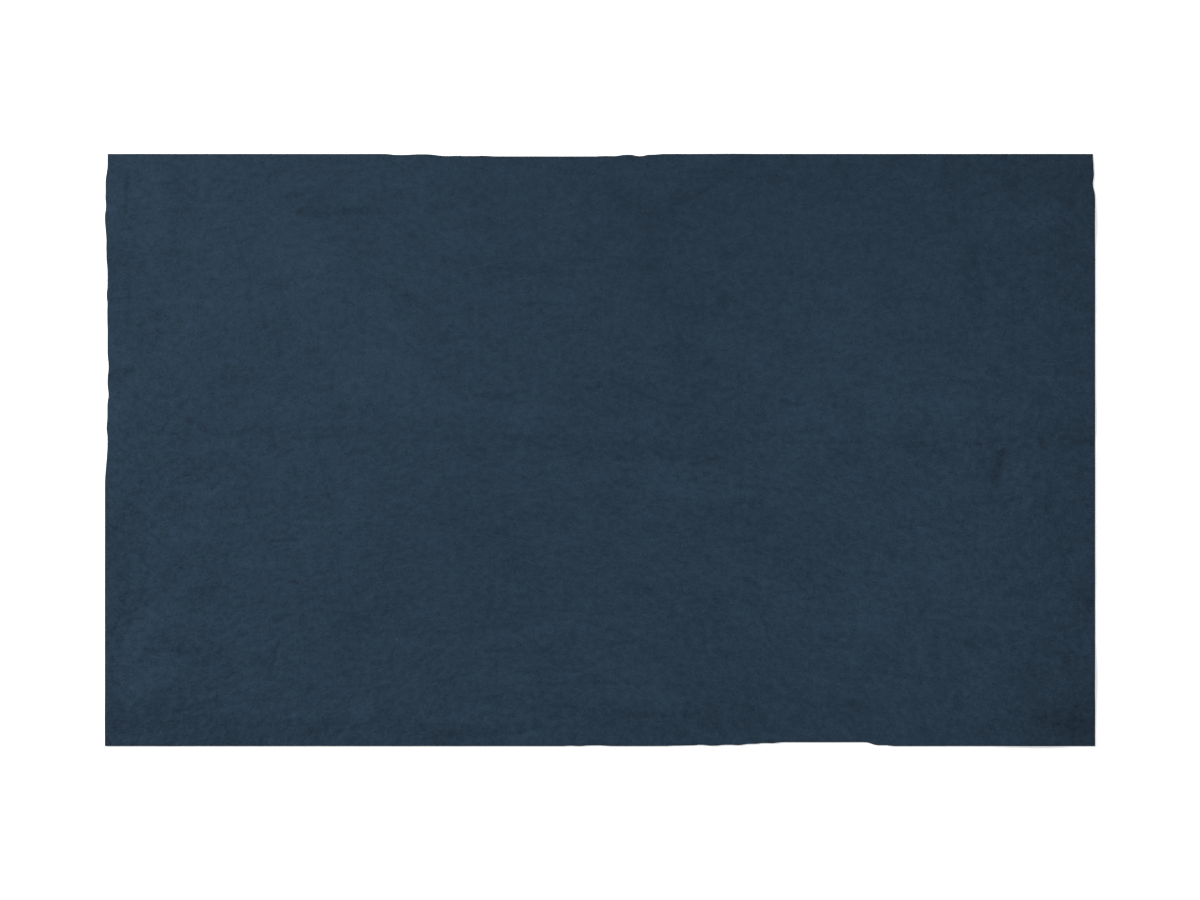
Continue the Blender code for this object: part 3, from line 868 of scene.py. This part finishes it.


# Small marks: spots which are darker, below 0, and a few specks of pale lint.
Spot = namedtuple("Spot", "x y reach tone")
SPOTS = (
    Spot(-0.670, 0.241, 0.014, -0.12),
    Spot(-0.666, 0.208, 0.014, -0.09),
    Spot(-0.633, 0.063, 0.010, -0.14),
    Spot(-0.439, 0.148, 0.011, -0.11),
    Spot(-0.390, 0.067, 0.011, -0.15),
    Spot(-0.587, -0.054, 0.009, -0.10),
    Spot(-0.393, -0.125, 0.003, -0.26),
    Spot(-0.318, -0.148, 0.014, -0.11),
    Spot(-0.488, -0.254, 0.011, -0.12),
    Spot(-0.662, -0.283, 0.009, -0.12),
    Spot(-0.636, -0.304, 0.012, -0.14),
    Spot(-0.612, -0.306, 0.010, -0.10),
    Spot(-0.378, -0.341, 0.015, -0.10),
    Spot(-0.558, -0.322, 0.010, -0.10),
    Spot(-0.640, -0.395, 0.004, -0.21),
    Spot(0.118, 0.386, 0.013, -0.06),
    Spot(0.186, 0.295, 0.014, -0.13),
    Spot(0.187, 0.228, 0.012, -0.17),
    Spot(0.163, 0.133, 0.010, -0.14),
    Spot(0.095, 0.246, 0.012, -0.10),
    Spot(0.157, 0.032, 0.009, -0.12),
    Spot(0.261, 0.408, 0.012, -0.11),
    Spot(0.304, 0.402, 0.013, -0.11),
    Spot(0.622, 0.405, 0.017, -0.15),
    Spot(0.698, 0.382, 0.012, -0.12),
    Spot(0.708, 0.376, 0.013, -0.14),
    Spot(0.599, 0.125, 0.013, -0.11),
    Spot(0.433, 0.105, 0.012, -0.09),
    Spot(0.660, -0.042, 0.011, -0.10),
    Spot(0.440, -0.156, 0.012, -0.14),
    Spot(0.315, -0.194, 0.010, -0.22),
    Spot(0.060, -0.213, 0.010, -0.12),
    Spot(0.073, -0.213, 0.010, -0.12),
    Spot(0.565, -0.296, 0.015, -0.12),
    Spot(0.652, -0.330, 0.012, -0.14),
    Spot(0.543, -0.383, 0.013, -0.15),
    Spot(0.383, -0.386, 0.012, -0.14),
    Spot(-0.308, -0.287, 0.0016, 1.4),
    Spot(0.692, 0.0205, 0.0016, 0.9),
    Spot(0.569, 0.0205, 0.0016, 0.7),
    Spot(0.480, 0.2325, 0.0016, 0.7),
)

FLEECE_BLUE = (0.0145, 0.0285, 0.0460, 1.0)
SHEEN_BLUE = (0.45, 0.60, 0.75, 1.0)
# How much darker the colour is painted: per millimetre of crease depth, partly for the crushed nap and
# partly as painted shade, and in the middle of a fine wrinkle, as painted shade.
CREASE_SHADE_AND_CRUSH = 0.15
WRINKLE_SHADE = 0.08

# The mottling of the nap, from broad drifts down to tufts of fibres. Each kind is noise with scale
# lumps a metre, which along below 1 draws out along the brushing, and has its share in the tone.
Mottle = namedtuple("Mottle", "along scale detail roughness distortion share")
DRIFTS = Mottle(0.7, 7.0, 2.0, 0.6, 0.0, 0.12)
BLOTCHES = Mottle(0.7, 28.0, 2.0, 0.6, 0.6, 0.34)
CLUMPS = Mottle(0.95, 92.0, 2.0, 0.65, 0.4, 0.88)
GRAIN = Mottle(0.95, 300.0, 2.0, 0.7, 0.0, 0.97)

# Where more fibres stand up, the grain is stronger. Fine wrinkles run where the noise HAIRLINES
# passes through 0, and show only in places; along them the colour is painted darker, as painted shade.
FIBRES_UP = Mottle(0.95, 75.0, 1.0, 0.5, 0.0, 3.3)
HAIRLINES = Mottle(0.3, 42.0, 1.0, 0.5, 0.3, 26.0)
HAIRLINES_SHOWN = Mottle(0.7, 11.0, 1.0, 0.5, 0.0, 4.0)


def fleece_finish():
    """Dyed slate blue, brushed: the nap is mottled and finely grained, and painted darker in its
    creases, partly for the crushed nap and partly as painted shade, and in its fine wrinkles as
    painted shade.
    """
    material, shader, start = new_material("brushed_fleece")
    strokes = start.node("ShaderNodeUVMap", {"uv_map": "brushing"})

    def mottle(kind):
        drawn_out = {"Vector": strokes, "Scale": (kind.along, 1.0, 1.0)}
        lengthened = start.node("ShaderNodeMapping", {}, drawn_out)
        sockets = {"Vector": lengthened, "Scale": kind.scale, "Detail": kind.detail}
        sockets |= {"Roughness": kind.roughness, "Distortion": kind.distortion}
        return start.node("ShaderNodeTexNoise", {}, sockets) - 0.5

    def mark(name):
        return start.node("ShaderNodeAttribute", {"attribute_name": name}, {}, "Fac")

    clumps = mottle(CLUMPS)
    grain = (1.0 + FIBRES_UP.share * mottle(FIBRES_UP)) * mottle(GRAIN)
    mottled = DRIFTS.share * mottle(DRIFTS) + BLOTCHES.share * mottle(BLOTCHES)
    mottled = mottled + CLUMPS.share * clumps + GRAIN.share * grain
    hairlines = 1.0 - HAIRLINES.share * mottle(HAIRLINES).math("ABSOLUTE")
    shown = HAIRLINES_SHOWN.share * mottle(HAIRLINES_SHOWN) + 0.2
    wrinkles = hairlines.held() * shown.held()
    pressed = mark("pressed")
    # The nap's lay carries the painted shade along the cut edge and the broad painted light and shade.
    tone = 1.0 + mottled * mark("ruffled") + mark("nap_lay_and_shade")
    # Painted shade: darker in the creases, where the nap is also crushed, and in the fine wrinkles.
    tone = tone - CREASE_SHADE_AND_CRUSH * pressed - WRINKLE_SHADE * wrinkles

    place = start.node("ShaderNodeTexCoord", output="Object")
    flattened = {"Vector": place, "Scale": (1.0, 1.0, 0.0)}
    on_plane = start.node("ShaderNodeMapping", {}, flattened)
    for spot in SPOTS:
        between = {0: on_plane, 1: (spot.x, spot.y, 0.0)}
        away = start.node("ShaderNodeVectorMath", {"operation": "DISTANCE"}, between, "Value")
        tone += spot.tone * (1.0 - away * away * (1.0 / spot.reach**2)).held()

    multiply = {"data_type": "RGBA", "blend_type": "MULTIPLY"}
    dye = {"Factor": 1.0, "A": FLEECE_BLUE, "B": tone}
    colour = start.node("ShaderNodeMix", multiply, dye, "Result")
    relief = 0.6 * clumps + 0.4 * grain - 0.4 * wrinkles
    nap = {"Strength": 0.5, "Distance": 0.0006, "Height": relief}
    bump = start.node("ShaderNodeBump", {}, nap)
    roughness = 0.92 + 0.20 * clumps + 0.20 * grain - 0.05 * pressed
    links = material.node_tree.links
    links.new(colour.socket, shader.inputs["Base Color"])
    links.new(roughness.socket, shader.inputs["Roughness"])
    links.new(bump.socket, shader.inputs["Normal"])
    shader.inputs["Specular IOR Level"].default_value = 0.08
    shader.inputs["Sheen Weight"].default_value = 0.10
    shader.inputs["Sheen Roughness"].default_value = 0.45
    shader.inputs["Sheen Tint"].default_value = SHEEN_BLUE
    return material


sheet.data.materials.append(fleece_finish())
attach(sheet, "root")
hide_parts("fleece_sheet")

# ---------------------------------------------------------------------------------------------
# The studio: a plain white table that glows a little, as a light table does, in a pale room. The
# light comes mostly from the upper left, low enough to show the ripples, and fades to the right.
# ---------------------------------------------------------------------------------------------

FLOOR_GAP = 0.0003
FLOOR_SIZE = 200.0
FLOOR_GLOW = 0.35

bpy.ops.object.select_all(action="DESELECT")
bpy.ops.mesh.primitive_plane_add(size=FLOOR_SIZE, location=(0, 0, low.z - FLOOR_GAP))
floor = bpy.context.active_object
floor.name = "floor"
floor_finish, floor_shader, _ = new_material("pale_floor")
floor_shader.inputs["Base Color"].default_value = (0.86, 0.86, 0.86, 1.0)
floor_shader.inputs["Roughness"].default_value = 0.9
floor_shader.inputs["Specular IOR Level"].default_value = 0.1
floor_shader.inputs["Emission Color"].default_value = (1.0, 1.0, 1.0, 1.0)
floor_shader.inputs["Emission Strength"].default_value = FLOOR_GLOW
floor.data.materials.append(floor_finish)

world = bpy.data.worlds.new("pale_room")
bpy.context.scene.world = world
world.use_nodes = True
walls = Wire(world, None)
upward = walls.node("ShaderNodeSeparateXYZ", {}, {0: walls.node("ShaderNodeTexCoord")}, "Z")
dimming = walls.node(
    "ShaderNodeMapRange",
    {"interpolation_type": "SMOOTHSTEP"},
    {"Value": upward, "From Min": 0.10, "From Max": 0.45, "To Min": 1.05, "To Max": 0.60},
)
world.node_tree.links.new(
    dimming.socket, world.node_tree.nodes["Background"].inputs["Strength"]
)
world.node_tree.nodes["Background"].inputs["Color"].default_value = (1.0, 1.0, 1.0, 1.0)


def aimed_light(kind, name, place, strength):
    """A light at a place, turned towards the middle of the cloth, and itself unseen."""
    bpy.ops.object.light_add(type=kind, location=place)
    light = bpy.context.active_object
    light.name = name
    light.data.energy = strength
    light.rotation_euler = (-Vector(place)).to_track_quat("-Z", "Y").to_euler()
    light.visible_camera = False
    return light.data


window = aimed_light("SUN", "window_light", (-2.1, 1.6, 1.75), 2.5)
window.angle = math.radians(24.0)
lamp = aimed_light("AREA", "lamp", (-2.15, 0.80, 1.30), 32.0)
lamp.size = 0.8

FRAME_WIDTH = 1.8186
LENS = 85.0
SENSOR = 36.0

bpy.ops.object.camera_add(location=(0.0, 0.0, FRAME_WIDTH * LENS / SENSOR), rotation=(0, 0, 0))
camera = bpy.context.active_object
camera.data.lens = LENS
camera.data.sensor_width = SENSOR
bpy.context.scene.camera = camera
bpy.context.scene.view_settings.view_transform = "Standard"
